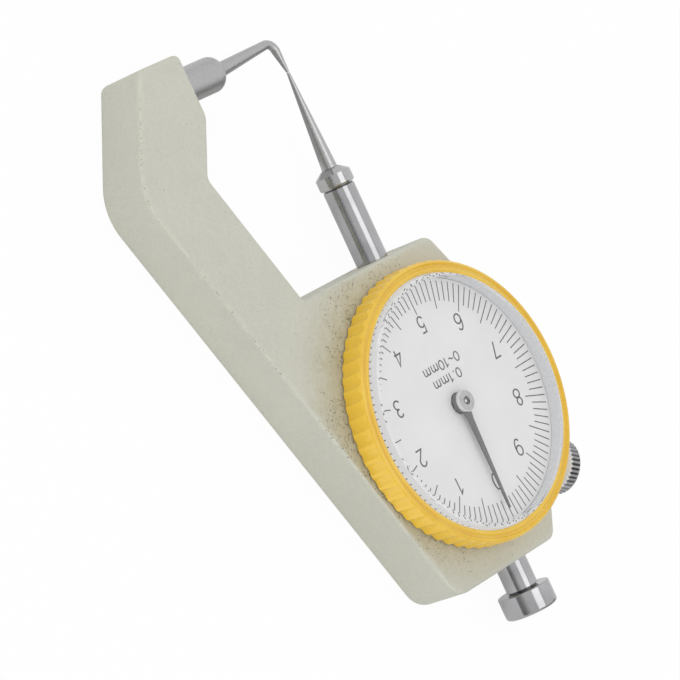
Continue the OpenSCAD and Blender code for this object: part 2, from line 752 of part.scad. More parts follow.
// Bezel: a scalloped band with a round shoulder, a shallow groove, a round lip and a ledge for the crystal
module bezel() {
    edge = 0.2;
    round_r = 0.6;
    shoulder_drop = 0.6;
    shoulder_z = rim_z - shoulder_drop;
    groove_in = 0.7;
    groove_drop = 0.25;
    lip_r = 0.42;
    // The flutes lean out, so they grow shallow towards the shoulder
    flute_lean = 3;
    sleeve_r = spigot_r + bezel_fit;
    color([0.93, 0.74, 0.25]) difference() {
        rotate_extrude() polygon(concat(
            [[sleeve_r, bezel_z], [bezel_r - edge, bezel_z], [bezel_r, bezel_z + edge]],
            round_points([bezel_r - round_r, shoulder_z], round_r, 0, 80),
            [[bezel_r - groove_in, rim_z - groove_drop]],
            round_points([opening_r + lip_r, rim_z - lip_r], lip_r, 30, 180),
            [[opening_r, foot_z - glue_t], [wall_r, foot_z - glue_t], [wall_r, dial_z],
             [flange_r, dial_z], [flange_r, flange_z], [sleeve_r, flange_z]]));
        for (i = [0:flute_count - 1])
            rotate([0, 0, i * 360 / flute_count])
                translate([bezel_r + flute_r - flute_depth, 0, bezel_z]) rotate([0, flute_lean, 0])
                    translate([0, 0, -over]) cylinder(r = flute_r, h = rim_z + 2 * over - bezel_z);
        translate([0, 0, ring_z]) cylinder(r = sleeve_r + ring_out, h = ring_h);
    }
}
module bezel_ring() {
    outer_r = spigot_r + bezel_fit + ring_out;
    color([0.6, 0.6, 0.62]) translate([0, 0, ring_z])
        rotate([0, 0, ring_gap_angle / 2]) rotate_extrude(angle = 360 - ring_gap_angle)
            translate([spigot_r - ring_in, 0]) square([outer_r - spigot_r + ring_in, ring_h]);
}
// Crystal: a disc with a round edge and a short foot on the ledge
module crystal() {
    r = opening_r - seat_gap;
    top_z = glass_z + crystal_t;
    color([0.85, 0.9, 0.92, 0.3]) rotate_extrude() polygon(concat(
        [[0, glass_z], [wall_r, glass_z], [wall_r, foot_z], [r, foot_z]],
        round_points([r - crystal_round, top_z - crystal_round], crystal_round, 0, 90),
        [[0, top_z]]));
}

// Fixed tip: stud, holder with a rounded end, tapered shank, bend and point
module fixed_tip() {
    x0 = -head_face;
    holder_r = holder_d / 2;
    end_round = 1.3;
    end_turn = 75;
    root_fillet = 0.15;
    root_sink = 0.3;
    // The straight stretches end a hair wider, just inside the bend
    weld = 0.08;
    weld_d = bend_d + 0.06;
    root_x = x0 + holder_l;
    bend_turn = 90 + shank_lean;
    bend_x = spindle_x - bend_r;
    run_x = bend_x + bend_r * sin(shank_lean) - root_x;
    shank_l = run_x / cos(shank_lean);
    bend_start_y = holder_y + shank_l * sin(shank_lean);
    bend_mid_y = bend_start_y - bend_r * cos(shank_lean);
    // The bend ends where a straight run from it meets the measuring point
    reach = [bend_r + point_shift, point_y + point_gap / 2 - bend_mid_y];
    end_l = sqrt(reach * reach - bend_r * bend_r);
    end_lean = atan2(reach.y, reach.x) + acos(bend_r / norm(reach));
    // The end flat leans with the run, which stops short to keep the gap
    flat_dip = point_d / 2 * sin(end_lean);
    color([0.62, 0.62, 0.62]) translate([0, 0, axis_z]) {
        translate([0, holder_y, 0]) rotate([0, 90, 0]) {
            translate([0, 0, x0 - holder_stud_l]) cylinder(d = holder_stud_d, h = holder_stud_l + over);
            translate([0, 0, x0]) rotate_extrude() polygon(concat(
                [[0, 0], [holder_r, 0]],
                round_points([holder_r - end_round, holder_l - end_round], end_round, 0, end_turn),
                [[shank_d / 2 + root_fillet, holder_l], [0, holder_l]]));
        }
        translate([root_x, holder_y, 0]) rotate([0, 0, shank_lean]) rotate([0, 90, 0])
            translate([0, 0, -root_sink])
                cylinder(d1 = shank_d, d2 = weld_d, h = shank_l + root_sink + weld);
        translate([bend_x, bend_mid_y, 0]) rotate([0, 0, end_lean]) {
            rotate_extrude(angle = bend_turn - end_lean) translate([bend_r, 0]) circle(d = bend_d);
            translate([bend_r, weld, 0]) rotate([90, 0, 0])
                cylinder(d1 = weld_d, d2 = point_d, h = end_l + weld - flat_dip);
        }
    }
}

lock_relief = 0.3;
module lock_screw() {
    stem_start = lock_reach + lock_tip_l;
    thread_lead = 0.5;
    thread_start = cavity_r - thread_lead;
    neck_start = case_r + lock_relief;
    head_start = case_r + neck_l;
    inner_chamfer = 1.4 * knob_chamfer;
    outer_chamfer = knob_chamfer / 2;
    groove = 0.33;
    color([0.7, 0.7, 0.72]) difference() {
        union() {
            on_lock(stem_start) cylinder(r = lock_stem_r, h = cavity_r - stem_start);
            on_lock(thread_start) cylinder(d = lock_d, h = neck_start + lock_relief - thread_start);
            on_lock(neck_start) cylinder(r = neck_r, h = neck_l);
            on_lock(head_start) difference() {
                rotate_extrude() polygon([
                    [0, 0], [knob_r - inner_chamfer, 0], [knob_r, knob_chamfer],
                    [knob_r, knob_h - outer_chamfer], [knob_r - outer_chamfer, knob_h], [0, knob_h]
                ]);
                for (i = [0:knurl_count - 1])
                    rotate([0, 0, i * 360 / knurl_count]) translate([knob_r, 0, -over])
                        rotate([0, 0, 45]) translate([-groove / 2, -groove / 2, 0])
                            cube([groove, groove, knob_h + 2 * over]);
            }
        }
        on_lock(stem_start - over) cylinder(r = lock_tip_r / 2, h = over + lock_tip_stud_l);
    }
}
module lock_tip() {
    color([0.8, 0.66, 0.35]) on_lock(lock_reach) {
        cylinder(r1 = lock_tip_end_r, r2 = lock_tip_r, h = lock_tip_cone);
        translate([0, 0, lock_tip_cone]) {
            cylinder(r = lock_tip_r, h = lock_tip_l - lock_tip_cone);
            cylinder(r = lock_tip_r / 2, h = lock_tip_l - lock_tip_cone + lock_tip_stud_l);
        }
    }
}

frame();
rear_cover();
rear_cover_screws();
upper_bush();
lower_bush();
spindle();
moving_tip();
pull_button();
guide_pin();
spindle_guide();
guide_screws();
return_spring();
spring_post();
pinion_arbor();
pinion_cock();
cock_screws();
upper_arbor_bush();
lower_arbor_bush();
pointer();
pointer_hub();
dial_plate();
bezel();
crystal();
bezel_ring();
fixed_tip();
lock_screw();
lock_tip();
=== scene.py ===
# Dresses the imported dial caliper: camera, materials, printed dial, wound spring and studio.
# Everything is in metres in the shared frame: +Z is the dial's normal, +Y runs to the measuring tips.
import math

import bpy
from mathutils import Matrix, Vector


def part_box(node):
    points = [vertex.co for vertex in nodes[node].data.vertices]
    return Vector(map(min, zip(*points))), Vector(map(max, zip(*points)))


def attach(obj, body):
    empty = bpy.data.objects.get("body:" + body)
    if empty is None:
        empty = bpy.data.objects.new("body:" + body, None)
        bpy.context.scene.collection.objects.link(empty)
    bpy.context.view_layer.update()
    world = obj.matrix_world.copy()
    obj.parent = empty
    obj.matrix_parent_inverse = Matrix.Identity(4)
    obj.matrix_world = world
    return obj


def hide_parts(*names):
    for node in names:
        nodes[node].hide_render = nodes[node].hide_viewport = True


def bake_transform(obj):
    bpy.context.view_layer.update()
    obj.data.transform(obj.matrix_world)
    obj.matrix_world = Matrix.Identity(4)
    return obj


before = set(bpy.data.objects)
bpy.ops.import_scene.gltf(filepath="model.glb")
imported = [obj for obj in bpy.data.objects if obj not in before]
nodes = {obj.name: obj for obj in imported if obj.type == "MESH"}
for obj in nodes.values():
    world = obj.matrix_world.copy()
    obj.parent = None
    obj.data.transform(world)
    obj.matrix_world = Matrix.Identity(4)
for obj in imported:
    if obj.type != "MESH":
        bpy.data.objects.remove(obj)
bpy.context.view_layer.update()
scene = bpy.context.scene
scene.view_settings.view_transform = "Standard"
MM = 0.001
X, Y, Z = range(3)


def middle(node):
    """The middle of a node's box."""
    low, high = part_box(node)
    return (low + high) / 2


# Heights and radii of the solids, from the frame where its boxes show them. The guide pin crosses the spindle
DIAL_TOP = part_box("dial_plate")[1].z
ARBOR_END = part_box("pinion_arbor")[1].z
SPINDLE_Z = middle("guide_pin").z
CASTING_TOP = 8.2 * MM
BEZEL_R = 19.5 * MM
OPENING_R = 17.7 * MM
COLLAR_TOP = 35.5 * MM
HUB_SHOULDER = 10.85 * MM

# Lock screw: its axis in the frame, and its knob's radius and place along that axis
LOCK_LEAN = math.radians(30)
LOCK_OFFSET = 3.6 * MM
LOCK_AXIS = (math.cos(LOCK_LEAN), -math.sin(LOCK_LEAN), 0)
LOCK_START = (LOCK_OFFSET * LOCK_AXIS[Y], -LOCK_OFFSET * LOCK_AXIS[X], SPINDLE_Z)
KNOB_R = 3.8 * MM
KNOB_START = 23.6 * MM

# Camera, worked out from the dial's ellipse and the spindle's direction in the picture
FRAME_PX = 680
FOCAL_PX = 4000
PX_PER_MM = 7.5
DIAL_PX = (458.95, 403.16)
DIAL_TILT = math.radians(46.05)
DIAL_LEAN = math.radians(-21.1)
DIAL_ROLL = math.radians(5.2227)
SENSOR_MM = 36
# Height of the plane that the camera was fitted to
SIGHT_Z = 10.2 * MM


def camera_axes():
    """The camera's right, down and ahead in the shared frame."""
    # The shared frame's own axes come first, as the camera sees them
    side = math.sin(DIAL_TILT)
    normal = Vector((side * math.cos(DIAL_LEAN), side * math.sin(DIAL_LEAN), -math.cos(DIAL_TILT)))
    level = normal.cross(Vector((0, 0, 1))).normalized()
    y_axis = math.cos(DIAL_ROLL) * level - math.sin(DIAL_ROLL) * level.cross(normal)
    x_axis = y_axis.cross(normal)
    return [Vector((x_axis[i], y_axis[i], normal[i])) for i in range(3)]


def place_camera():
    right, down, ahead = camera_axes()
    aside, below = ((px - FRAME_PX / 2) / PX_PER_MM for px in DIAL_PX)
    to_dial = (right * aside + down * below + ahead * FOCAL_PX / PX_PER_MM) * MM
    data = bpy.data.cameras.new("camera")
    data.sensor_width = SENSOR_MM
    data.sensor_fit = "HORIZONTAL"
    data.lens = SENSOR_MM * FOCAL_PX / FRAME_PX
    data.clip_start = 0.01
    data.clip_end = 50
    camera = bpy.data.objects.new("camera", data)
    turn = Matrix((right, -down, -ahead)).transposed().to_4x4()
    camera.matrix_world = Matrix.Translation(Vector((0, 0, SIGHT_Z)) - to_dial) @ turn
    scene.collection.objects.link(camera)
    scene.camera = camera


place_camera()


# Colours
def srgb(r, g, b):
    """Linear colour of a colour given in screen values."""
    def line(c):
        c /= 255
        return c / 12.92 if c <= 0.04045 else ((c + 0.055) / 1.055) ** 2.4
    return (line(r), line(g), line(b), 1.0)


def grey(level):
    return (level, level, level, 1.0)


def shade(colour, share):
    """The colour times a share, no brighter than white."""
    return tuple(min(1.0, c * share) for c in colour[:3]) + (1.0,)


WHITE = grey(1.0)
BLACK = grey(0.0)


# Node helpers
def shader(m):
    return m.node_tree.nodes["Principled BSDF"]


def wire(m, socket, value):
    """Links a socket to the one given, or sets its number or colour."""
    if isinstance(value, bpy.types.NodeSocket):
        m.node_tree.links.new(value, socket)
    else:
        socket.default_value = value


def skin(m, key, value):
    wire(m, shader(m).inputs[key], value)


def source(m, key):
    """The socket that feeds one of the shader's inputs."""
    return shader(m).inputs[key].links[0].from_socket


def material(name, **inputs):
    """A new material, with constants on its shader, where _ stands for a space."""
    m = bpy.data.materials.new(name)
    m.use_nodes = True
    for key, value in inputs.items():
        skin(m, key.replace("_", " "), value)
    return m


def add(m, kind, inputs=None, **settings):
    n = m.node_tree.nodes.new("ShaderNode" + kind)
    for key, value in settings.items():
        setattr(n, key, value)
    for key, value in (inputs or {}).items():
        wire(m, n.inputs[key], value)
    return n


def calc(m, operation, a, b):
    return add(m, "Math", {0: a, 1: b}, operation=operation).outputs[0]


def times(m, first, *others):
    for other in others:
        first = calc(m, "MULTIPLY", first, other)
    return first


def ramp(m, value, low, high, out_low=0.0, out_high=1.0):
    """Goes smoothly from out_low to out_high while the value goes from low to high."""
    return add(m, "MapRange", {"Value": value, "From Min": low, "From Max": high,
                               "To Min": out_low, "To Max": out_high},
               interpolation_type="SMOOTHSTEP").outputs["Result"]


def spread(m, cloud, out_low=0.0, out_high=1.0):
    """Spreads a noise over a range. A noise seldom leaves 0.3 to 0.7."""
    return ramp(m, cloud, 0.3, 0.7, out_low, out_high)


def mix(m, share, a, b):
    n = add(m, "Mix", data_type="RGBA")
    for socket, value in ((n.inputs[0], share), (n.inputs[6], a), (n.inputs[7], b)):
        wire(m, socket, value)
    return n.outputs[2]


def place(m):
    return add(m, "TexCoord").outputs["Object"]


def split(m, vector):
    return add(m, "SeparateXYZ", {0: vector}).outputs


def facing(m):
    """The surface's normal, as its x, y and z."""
    return split(m, add(m, "TexCoord").outputs["Normal"])


def vector_node(m, operation, *inputs):
    return add(m, "VectorMath", dict(enumerate(inputs)), operation=operation).outputs


def length(m, vector):
    return vector_node(m, "LENGTH", vector)["Value"]


def from_dial_axis(m, x, y):
    return length(m, add(m, "CombineXYZ", {0: x, 1: y}).outputs[0])


def noise(m, vector, scale, detail=2.0, rough=0.5):
    return add(m, "TexNoise", {"Vector": vector, "Scale": scale, "Detail": detail,
                               "Roughness": rough}).outputs["Fac"]


def bump(m, height, depth, strength, under=None):
    n = add(m, "Bump", {"Strength": strength, "Distance": depth, "Height": height})
    if under is not None:
        wire(m, n.inputs["Normal"], under)
    return n.outputs["Normal"]


# Cream paint with faint clouds and a fine grain
def cream_paint(name, colour):
    m = material(name, Specular_IOR_Level=0.35)
    at = place(m)
    cloud = noise(m, at, scale=70, detail=4, rough=0.6)
    grain = noise(m, at, scale=2400, detail=4, rough=0.65)
    tone = mix(m, spread(m, cloud), shade(colour, 0.965), shade(colour, 1.025))
    speckle = ramp(m, grain, 0.3, 0.75, 0.0, 0.2)
    skin(m, "Base Color", mix(m, speckle, tone, shade(colour, 0.6)))
    skin(m, "Roughness", spread(m, cloud, 0.5, 0.62))
    skin(m, "Normal", bump(m, grain, 0.018 * MM, strength=0.5))
    return m


# Wear of the casting's paint, with painted light: grime mixed with painted shade beside the bezel, pits
# there, and a front edge worn pale with a painted highlight on it
# Grime mixed with painted shade beside the bezel: its reach, colour and share
BESIDE_BEZEL_R = 28 * MM
GRIME_AND_SHADE = srgb(170, 162, 126)
GRIME_AND_SHADE_SHARE = 0.62
# Pale colour of the worn front edge, which is also a painted highlight
RUBBED_PALE_AND_HIGHLIGHT = srgb(222, 221, 206)
PIT = srgb(98, 90, 70)
PIT_SHARE = 0.6
PIT_DEPTH = 0.04 * MM
EDGE_CROWD = 0.6


def grime_share(m, at, x, y, beside):
    """How much grime and painted shade darken the paint: most of it in mottles, left of the bezel."""
    left = ramp(m, x, 4 * MM, -13 * MM, 0.06, 1.0)
    upper = ramp(m, y, -20 * MM, -8 * MM, 0.5, 1.0)
    mottle = spread(m, noise(m, at, scale=800, detail=5, rough=0.7), 0.35, 1.0)
    return times(m, beside, left, upper, mottle, GRIME_AND_SHADE_SHARE)


def pits(m, at, x, y, beside, edge):
    """One inside a pit. Pits crowd in patches beside the bezel and along the front edge."""
    patch = ramp(m, noise(m, at, scale=300, detail=4, rough=0.65), 0.34, 0.56)
    left = ramp(m, x, 8 * MM, -9 * MM, 0.35, 1.0)
    upper = ramp(m, y, -18 * MM, -4 * MM, 0.6, 1.0)
    crowd = calc(m, "MAXIMUM", times(m, beside, patch, left, upper), times(m, edge, patch, EDGE_CROWD))
    limit = ramp(m, crowd, 0.0, 0.9, 0.75, 0.585)
    return ramp(m, calc(m, "SUBTRACT", noise(m, at, scale=4200, detail=1), limit), 0.0, 0.06)


def casting_paint(name, colour):
    m = cream_paint(name, colour)
    at = place(m)
    x, y, z = split(m, at)
    normal = facing(m)
    front = ramp(m, normal[Z], 0.8, 0.97)
    beside = times(m, front, ramp(m, from_dial_axis(m, x, y), BESIDE_BEZEL_R, BEZEL_R))
    edge = times(m, ramp(m, normal[Z], 0.5, 0.66), ramp(m, normal[Z], 0.9, 0.76),
                 ramp(m, normal[X], -0.15, -0.4),
                 ramp(m, z, CASTING_TOP - 1.2 * MM, CASTING_TOP - 0.7 * MM))
    pit = pits(m, at, x, y, beside, edge)
    # The front edge worn pale, with a painted highlight on it
    worn_edge_and_highlight = times(m, edge, ramp(m, noise(m, at, scale=420, detail=4, rough=0.7), 0.35, 0.65, 0.03, 0.28))
    # Grime mixed with painted shade, darker left of the bezel
    tone = mix(m, grime_share(m, at, x, y, beside), source(m, "Base Color"), GRIME_AND_SHADE)
    tone = mix(m, worn_edge_and_highlight, tone, RUBBED_PALE_AND_HIGHLIGHT)
    skin(m, "Base Color", mix(m, times(m, pit, PIT_SHARE), tone, PIT))
    height = calc(m, "SUBTRACT", 1.0, pit)
    skin(m, "Normal", bump(m, height, PIT_DEPTH, strength=0.7, under=source(m, "Normal")))
    return m


# Finishes, each a lowest and a highest roughness
POLISHED = (0.09, 0.16)
BRIGHT = (0.16, 0.26)
SATIN = (0.28, 0.36)
DULL = (0.3, 0.42)

# Turned metal: fine rings round one axis, with a little cloud in the polish
CELLS_ROUND = 60.0
CELLS_ACROSS = 14000.0


def turned_metal(name, colour, rough, axis, marks=0.002 * MM):
    m = material(name, Metallic=1.0)
    at = place(m)
    cells = [CELLS_ROUND] * 3
    cells[axis] = CELLS_ACROSS
    rings = noise(m, vector_node(m, "MULTIPLY", at, cells)["Vector"], scale=1.0)
    cloud = noise(m, at, scale=350, detail=3)
    skin(m, "Base Color", mix(m, spread(m, cloud), shade(colour, 0.86), colour))
    polish = calc(m, "ADD", times(m, rings, 0.6), times(m, cloud, 0.4))
    skin(m, "Roughness", spread(m, polish, *rough))
    skin(m, "Normal", bump(m, rings, marks, strength=0.6))
    return m


# Satin metal: an even, very fine grain
SATIN_GRAIN = 2600
SATIN_DEPTH = 0.0006 * MM


def satin_metal(name, colour, rough):
    m = material(name, Metallic=1.0)
    at = place(m)
    grain = noise(m, at, scale=SATIN_GRAIN)
    skin(m, "Base Color", mix(m, spread(m, grain), shade(colour, 0.93), colour))
    skin(m, "Roughness", spread(m, noise(m, at, scale=SATIN_GRAIN * 2.3), *rough))
    skin(m, "Normal", bump(m, grain, SATIN_DEPTH, strength=0.5))
    return m


# Moving tip: a satin needle on a collar that is as bright as the spindle
def needle_metal(name, colour):
    m = satin_metal(name, colour, SATIN)
    y = split(m, place(m))[Y]
    skin(m, "Roughness", ramp(m, y, COLLAR_TOP - 0.2 * MM, COLLAR_TOP + 0.1 * MM, 0.13, 0.32))
    return m


# Pointer's hub: dark round its foot, with a painted highlight on its shoulder
def hub_metal(name, colour):
    m = turned_metal(name, colour, (0.16, 0.24), Z, marks=0.0005 * MM)
    # Painted highlight: the shoulder is made pale where it rounds over
    shoulder_highlight = ramp(m, facing(m)[Z], 0.97, 0.85)
    tone = mix(m, shoulder_highlight, source(m, "Base Color"), grey(0.82))
    z = split(m, place(m))[Z]
    above_foot = ramp(m, z, HUB_SHOULDER - 0.1 * MM, HUB_SHOULDER + 0.05 * MM)
    skin(m, "Base Color", mix(m, above_foot, grey(0.16), tone))
    return m


# Arbor: plain steel, with a dark ring and a painted glint at the centre of the end that shows in the hub
def arbor_metal(name, colour):
    m = satin_metal(name, colour, DULL)
    x, y, z = split(m, place(m))
    ring = ramp(m, from_dial_axis(m, x, y), 0.16 * MM, 0.22 * MM)
    end = ramp(m, z, ARBOR_END - 0.15 * MM, ARBOR_END - 0.1 * MM)
    # Dark end with a painted glint at its centre
    end_with_glint = mix(m, ring, grey(0.95), grey(0.14))
    skin(m, "Base Color", mix(m, end, source(m, "Base Color"), end_with_glint))
    return m


# Lock screw: bright steel, with painted shade in the knurl's grooves and a painted highlight on the knob's
# chamfer beside the casting
def knurled_metal(name, colour):
    m = turned_metal(name, colour, BRIGHT, X)
    off = vector_node(m, "SUBTRACT", place(m), LOCK_START)["Vector"]
    along = vector_node(m, "DOT_PRODUCT", off, LOCK_AXIS)["Value"]
    reach = length(m, vector_node(m, "CROSS_PRODUCT", off, LOCK_AXIS)["Vector"])
    # Painted shade in the knurl's grooves
    groove_shade = times(m, ramp(m, reach, KNOB_R - 0.03 * MM, KNOB_R - 0.2 * MM),
                   ramp(m, reach, KNOB_R - 0.32 * MM, KNOB_R - 0.26 * MM))
    # Painted highlight on the knob's chamfer
    chamfer_highlight = times(m, ramp(m, along, KNOB_START + 0.25 * MM, KNOB_START - 0.2 * MM),
                    ramp(m, reach, 0.72 * KNOB_R, 0.78 * KNOB_R))
    tone = mix(m, groove_shade, source(m, "Base Color"), grey(0.16))
    skin(m, "Base Color", mix(m, chamfer_highlight, tone, grey(0.8)))
    skin(m, "Metallic", calc(m, "SUBTRACT", 1.0, chamfer_highlight))
    return m


# Yellow lacquer on the bezel, lighter on its sides as painted light, and pale grey on the wall round the
# crystal
def bezel_lacquer(name):
    m = material(name, Coat_Weight=0.35, Coat_Roughness=0.08)
    at = place(m)
    x, y, _ = split(m, at)
    wall = calc(m, "LESS_THAN", from_dial_axis(m, x, y), OPENING_R + 0.03 * MM)
    # Painted light: faces that turn away from the top are given a lighter lacquer
    side = ramp(m, facing(m)[Z], 0.7, 0.2)
    tone = mix(m, spread(m, noise(m, at, scale=160, detail=3)), srgb(227, 182, 48), srgb(234, 194, 64))
    tone = mix(m, side, tone, srgb(243, 200, 66))
    skin(m, "Base Color", mix(m, wall, tone, srgb(212, 213, 215)))
    skin(m, "Roughness", spread(m, noise(m, at, scale=900), 0.2, 0.3))
    skin(m, "Normal", bump(m, noise(m, at, scale=1300), 0.01 * MM, strength=0.35))
    return m


def dial_paint(name):
    m = material(name, Roughness=0.5, Specular_IOR_Level=0.3)
    at = place(m)
    cloud = noise(m, at, scale=130, detail=3)
    skin(m, "Base Color", mix(m, spread(m, cloud), srgb(222, 222, 222), srgb(226, 226, 226)))
    skin(m, "Normal", bump(m, noise(m, at, scale=5000, detail=1), 0.004 * MM, strength=0.3))
    return m


def ink(name):
    m = material(name, Roughness=0.6)
    cloud = noise(m, place(m), scale=2500)
    skin(m, "Base Color", mix(m, spread(m, cloud), srgb(58, 58, 60), srgb(74, 74, 76)))
    return m


# Clear crystal. Where light is caught in its round edge, a painted glow of the studio's white is added
CAUGHT_BOUNCES = 2.5
CAUGHT_GLOW = 0.22


def glass(name):
    m = material(name, Roughness=0.0, IOR=1.49, Transmission_Weight=1.0, Base_Color=WHITE,
                 Emission_Color=WHITE)
    caught = calc(m, "GREATER_THAN", add(m, "LightPath").outputs["Glossy Depth"], CAUGHT_BOUNCES)
    skin(m, "Emission Strength", times(m, caught, CAUGHT_GLOW))
    return m


# Looks, each with the nodes that wear it
TOOL_GREY = (0.44, 0.44, 0.45, 1)
tool_steel = satin_metal("tool_steel", TOOL_GREY, DULL)
print_ink = ink("print_ink")

DRESS = [
    (casting_paint("cream_paint", srgb(199, 199, 186)), ["frame"]),
    (cream_paint("cover_paint", srgb(186, 186, 174)), ["rear_cover"]),
    (turned_metal("bright_steel", (0.46, 0.46, 0.47, 1), POLISHED, Y), ["spindle", "pull_button"]),
    (needle_metal("needle_steel", grey(0.48)), ["moving_tip"]),
    (satin_metal("satin_steel", grey(0.47), SATIN),
     ["fixed_tip", "rear_cover_screws", "guide_screws", "cock_screws"]),
    (tool_steel, ["guide_pin", "spring_post", "bezel_ring", "return_spring"]),
    (arbor_metal("arbor_steel", TOOL_GREY), ["pinion_arbor"]),
    (turned_metal("brass", (0.72, 0.53, 0.24, 1), BRIGHT, Z),
     ["upper_bush", "lower_bush", "spindle_guide", "pinion_cock", "upper_arbor_bush", "lower_arbor_bush",
      "lock_tip"]),
    (knurled_metal("knurled_steel", (0.4, 0.4, 0.41, 1)), ["lock_screw"]),
    (satin_metal("pointer_grey", (0.17, 0.17, 0.175, 1), DULL), ["pointer"]),
    (hub_metal("hub_grey", grey(0.56)), ["pointer_hub"]),
    (dial_paint("dial_white"), ["dial_plate"]),
    (bezel_lacquer("bezel_yellow"), ["bezel"]),
    (glass("clear"), ["crystal"]),
]


def dress_nodes():
    for look, dressed in DRESS:
        for name in dressed:
            nodes[name].data.materials.clear()
            nodes[name].data.materials.append(look)
    # Light passes the crystal to reach the dial
    nodes["crystal"].visible_shadow = False
    nodes["crystal"].visible_diffuse = False


dress_nodes()


def new_piece(name, verts, faces, look, body=None, smooth=False):
    """A mesh with its look, on the body that is given."""
    mesh = bpy.data.meshes.new(name)
    mesh.from_pydata(verts, [], faces)
    mesh.update()
    if smooth:
        mesh.polygons.foreach_set("use_smooth", [True] * len(mesh.polygons))
    mesh.materials.append(look)
    obj = bpy.data.objects.new(name, mesh)
    scene.collection.objects.link(obj)
    if body:
        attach(obj, body)
    return obj


# Printed dial: thin raised bars of ink on a dial that is a little turned from the casting
INK_T = 0.02 * MM
SAME_POINT = 0.0001 * MM
SHARPEST_MITRE = 0.5
DIAL_TURN = math.radians(1.3)
ZERO_TURN = DIAL_TURN - math.pi / 2
DIVISIONS = 100
LONG_EVERY = 5
LINE_W = 0.14 * MM
LINE_OUTER_R = 16.95 * MM
LONG_INNER_R = 13.1 * MM
SHORT_INNER_R = 14.2 * MM
DIGITS = 10
DIGIT_R = 11.62 * MM
DIGIT_H = 2.25 * MM
DIGIT_STROKE = 0.22 * MM
UNIT_H = 1.26 * MM
UNIT_STROKE = 0.175 * MM
UNIT_STRETCH = 1.38
UNIT_AT = (-0.07 * MM, 3.57 * MM)
RANGE_AT = (-0.06 * MM, 5.62 * MM)


def on_dial(reach, share):
    """A point of the dial, at a reach from its axis and a share of the turn past zero."""
    a = ZERO_TURN - 2 * math.pi * share
    return Vector((reach * math.cos(a), reach * math.sin(a)))


def ribbon(points, width, verts, faces):
    """Adds a flat bar of ink along the points, with mitred corners, standing on the dial."""
    closed = (points[0] - points[-1]).length < SAME_POINT
    loop = points[:-1] if closed else points
    n, base = len(loop), len(verts)
    for i, p in enumerate(loop):
        steps = []
        if closed or i > 0:
            steps.append((p - loop[i - 1]).normalized())
        if closed or i < n - 1:
            steps.append((loop[(i + 1) % n] - p).normalized())
        along = (steps[0] + steps[-1]).normalized()
        across = Vector((-along.y, along.x)) * width / 2 / max(SHARPEST_MITRE, along.dot(steps[0]))
        for q, h in ((p + across, INK_T), (p - across, INK_T), (p - across, 0), (p + across, 0)):
            verts.append(Vector((q.x, q.y, DIAL_TOP + h)))
    for i in range(n if closed else n - 1):
        a, b = base + 4 * i, base + 4 * ((i + 1) % n)
        for k in range(4):
            j = (k + 1) % 4
            faces.append((a + k, a + j, b + j, b + k))
    if not closed:
        last = base + 4 * (n - 1)
        faces.append((base + 3, base + 2, base + 1, base))
        faces.append((last, last + 1, last + 2, last + 3))


def printed(name, verts, faces):
    new_piece(name, verts, faces, print_ink, "bezel_body")


def dial_scale():
    verts, faces = [], []
    for k in range(DIVISIONS):
        inner = SHORT_INNER_R if k % LONG_EVERY else LONG_INNER_R
        share = k / DIVISIONS
        ribbon([on_dial(inner, share), on_dial(LINE_OUTER_R, share)], LINE_W, verts, faces)
    printed("dial_scale", verts, faces)


# Figures of the dial: how wide each is, and its strokes, on a box one unit high
def arc(x, y, rx, ry, start, end, steps=14):
    turns = [math.radians(start + (end - start) * k / steps) for k in range(steps + 1)]
    return [(x + rx * math.cos(a), y + ry * math.sin(a)) for a in turns]


SIX = [arc(0.31, 0.44, 0.28, 0.56, 48, 186), arc(0.29, 0.3, 0.26, 0.3, 90, 450, 24)]
GLYPHS = {
    "0": (0.58, [arc(0.29, 0.5, 0.26, 0.5, 90, 450, 28)]),
    "1": (0.44, [[(0.08, 0.77), (0.3, 1.0), (0.3, 0.0)]]),
    "2": (0.58, [arc(0.29, 0.73, 0.25, 0.27, 170, -38) + [(0.04, 0.0), (0.56, 0.0)]]),
    "3": (0.58, [arc(0.27, 0.755, 0.22, 0.245, 155, -90) + arc(0.27, 0.265, 0.26, 0.265, 90, -155)]),
    "4": (0.6, [[(0.43, 0.0), (0.43, 1.0), (0.02, 0.29), (0.58, 0.29)]]),
    "5": (0.58, [[(0.5, 1.0), (0.13, 1.0), (0.08, 0.52)] + arc(0.28, 0.33, 0.26, 0.33, 128, -152)]),
    "6": (0.58, SIX),
    "7": (0.56, [[(0.03, 1.0), (0.55, 1.0), (0.22, 0.0)]]),
    "8": (0.58, [arc(0.29, 0.76, 0.21, 0.24, 90, 450, 20), arc(0.29, 0.26, 0.26, 0.26, 90, 450, 22)]),
    "9": (0.58, [[(0.58 - x, 1 - y) for x, y in stroke] for stroke in SIX]),
    "m": (0.86, [[(0.06, 0.0), (0.06, 0.75)], arc(0.235, 0.53, 0.175, 0.22, 180, 0, 8) + [(0.41, 0.0)],
                 arc(0.585, 0.53, 0.175, 0.22, 180, 0, 8) + [(0.76, 0.0)]]),
    ".": (0.24, [[(0.1, 0.0), (0.1, 0.17)]]),
    "~": (0.58, [[(0.05 + 0.04 * k, 0.4 + 0.09 * math.sin(math.pi * k / 6)) for k in range(13)]]),
}
GLYPH_GAP = 0.12


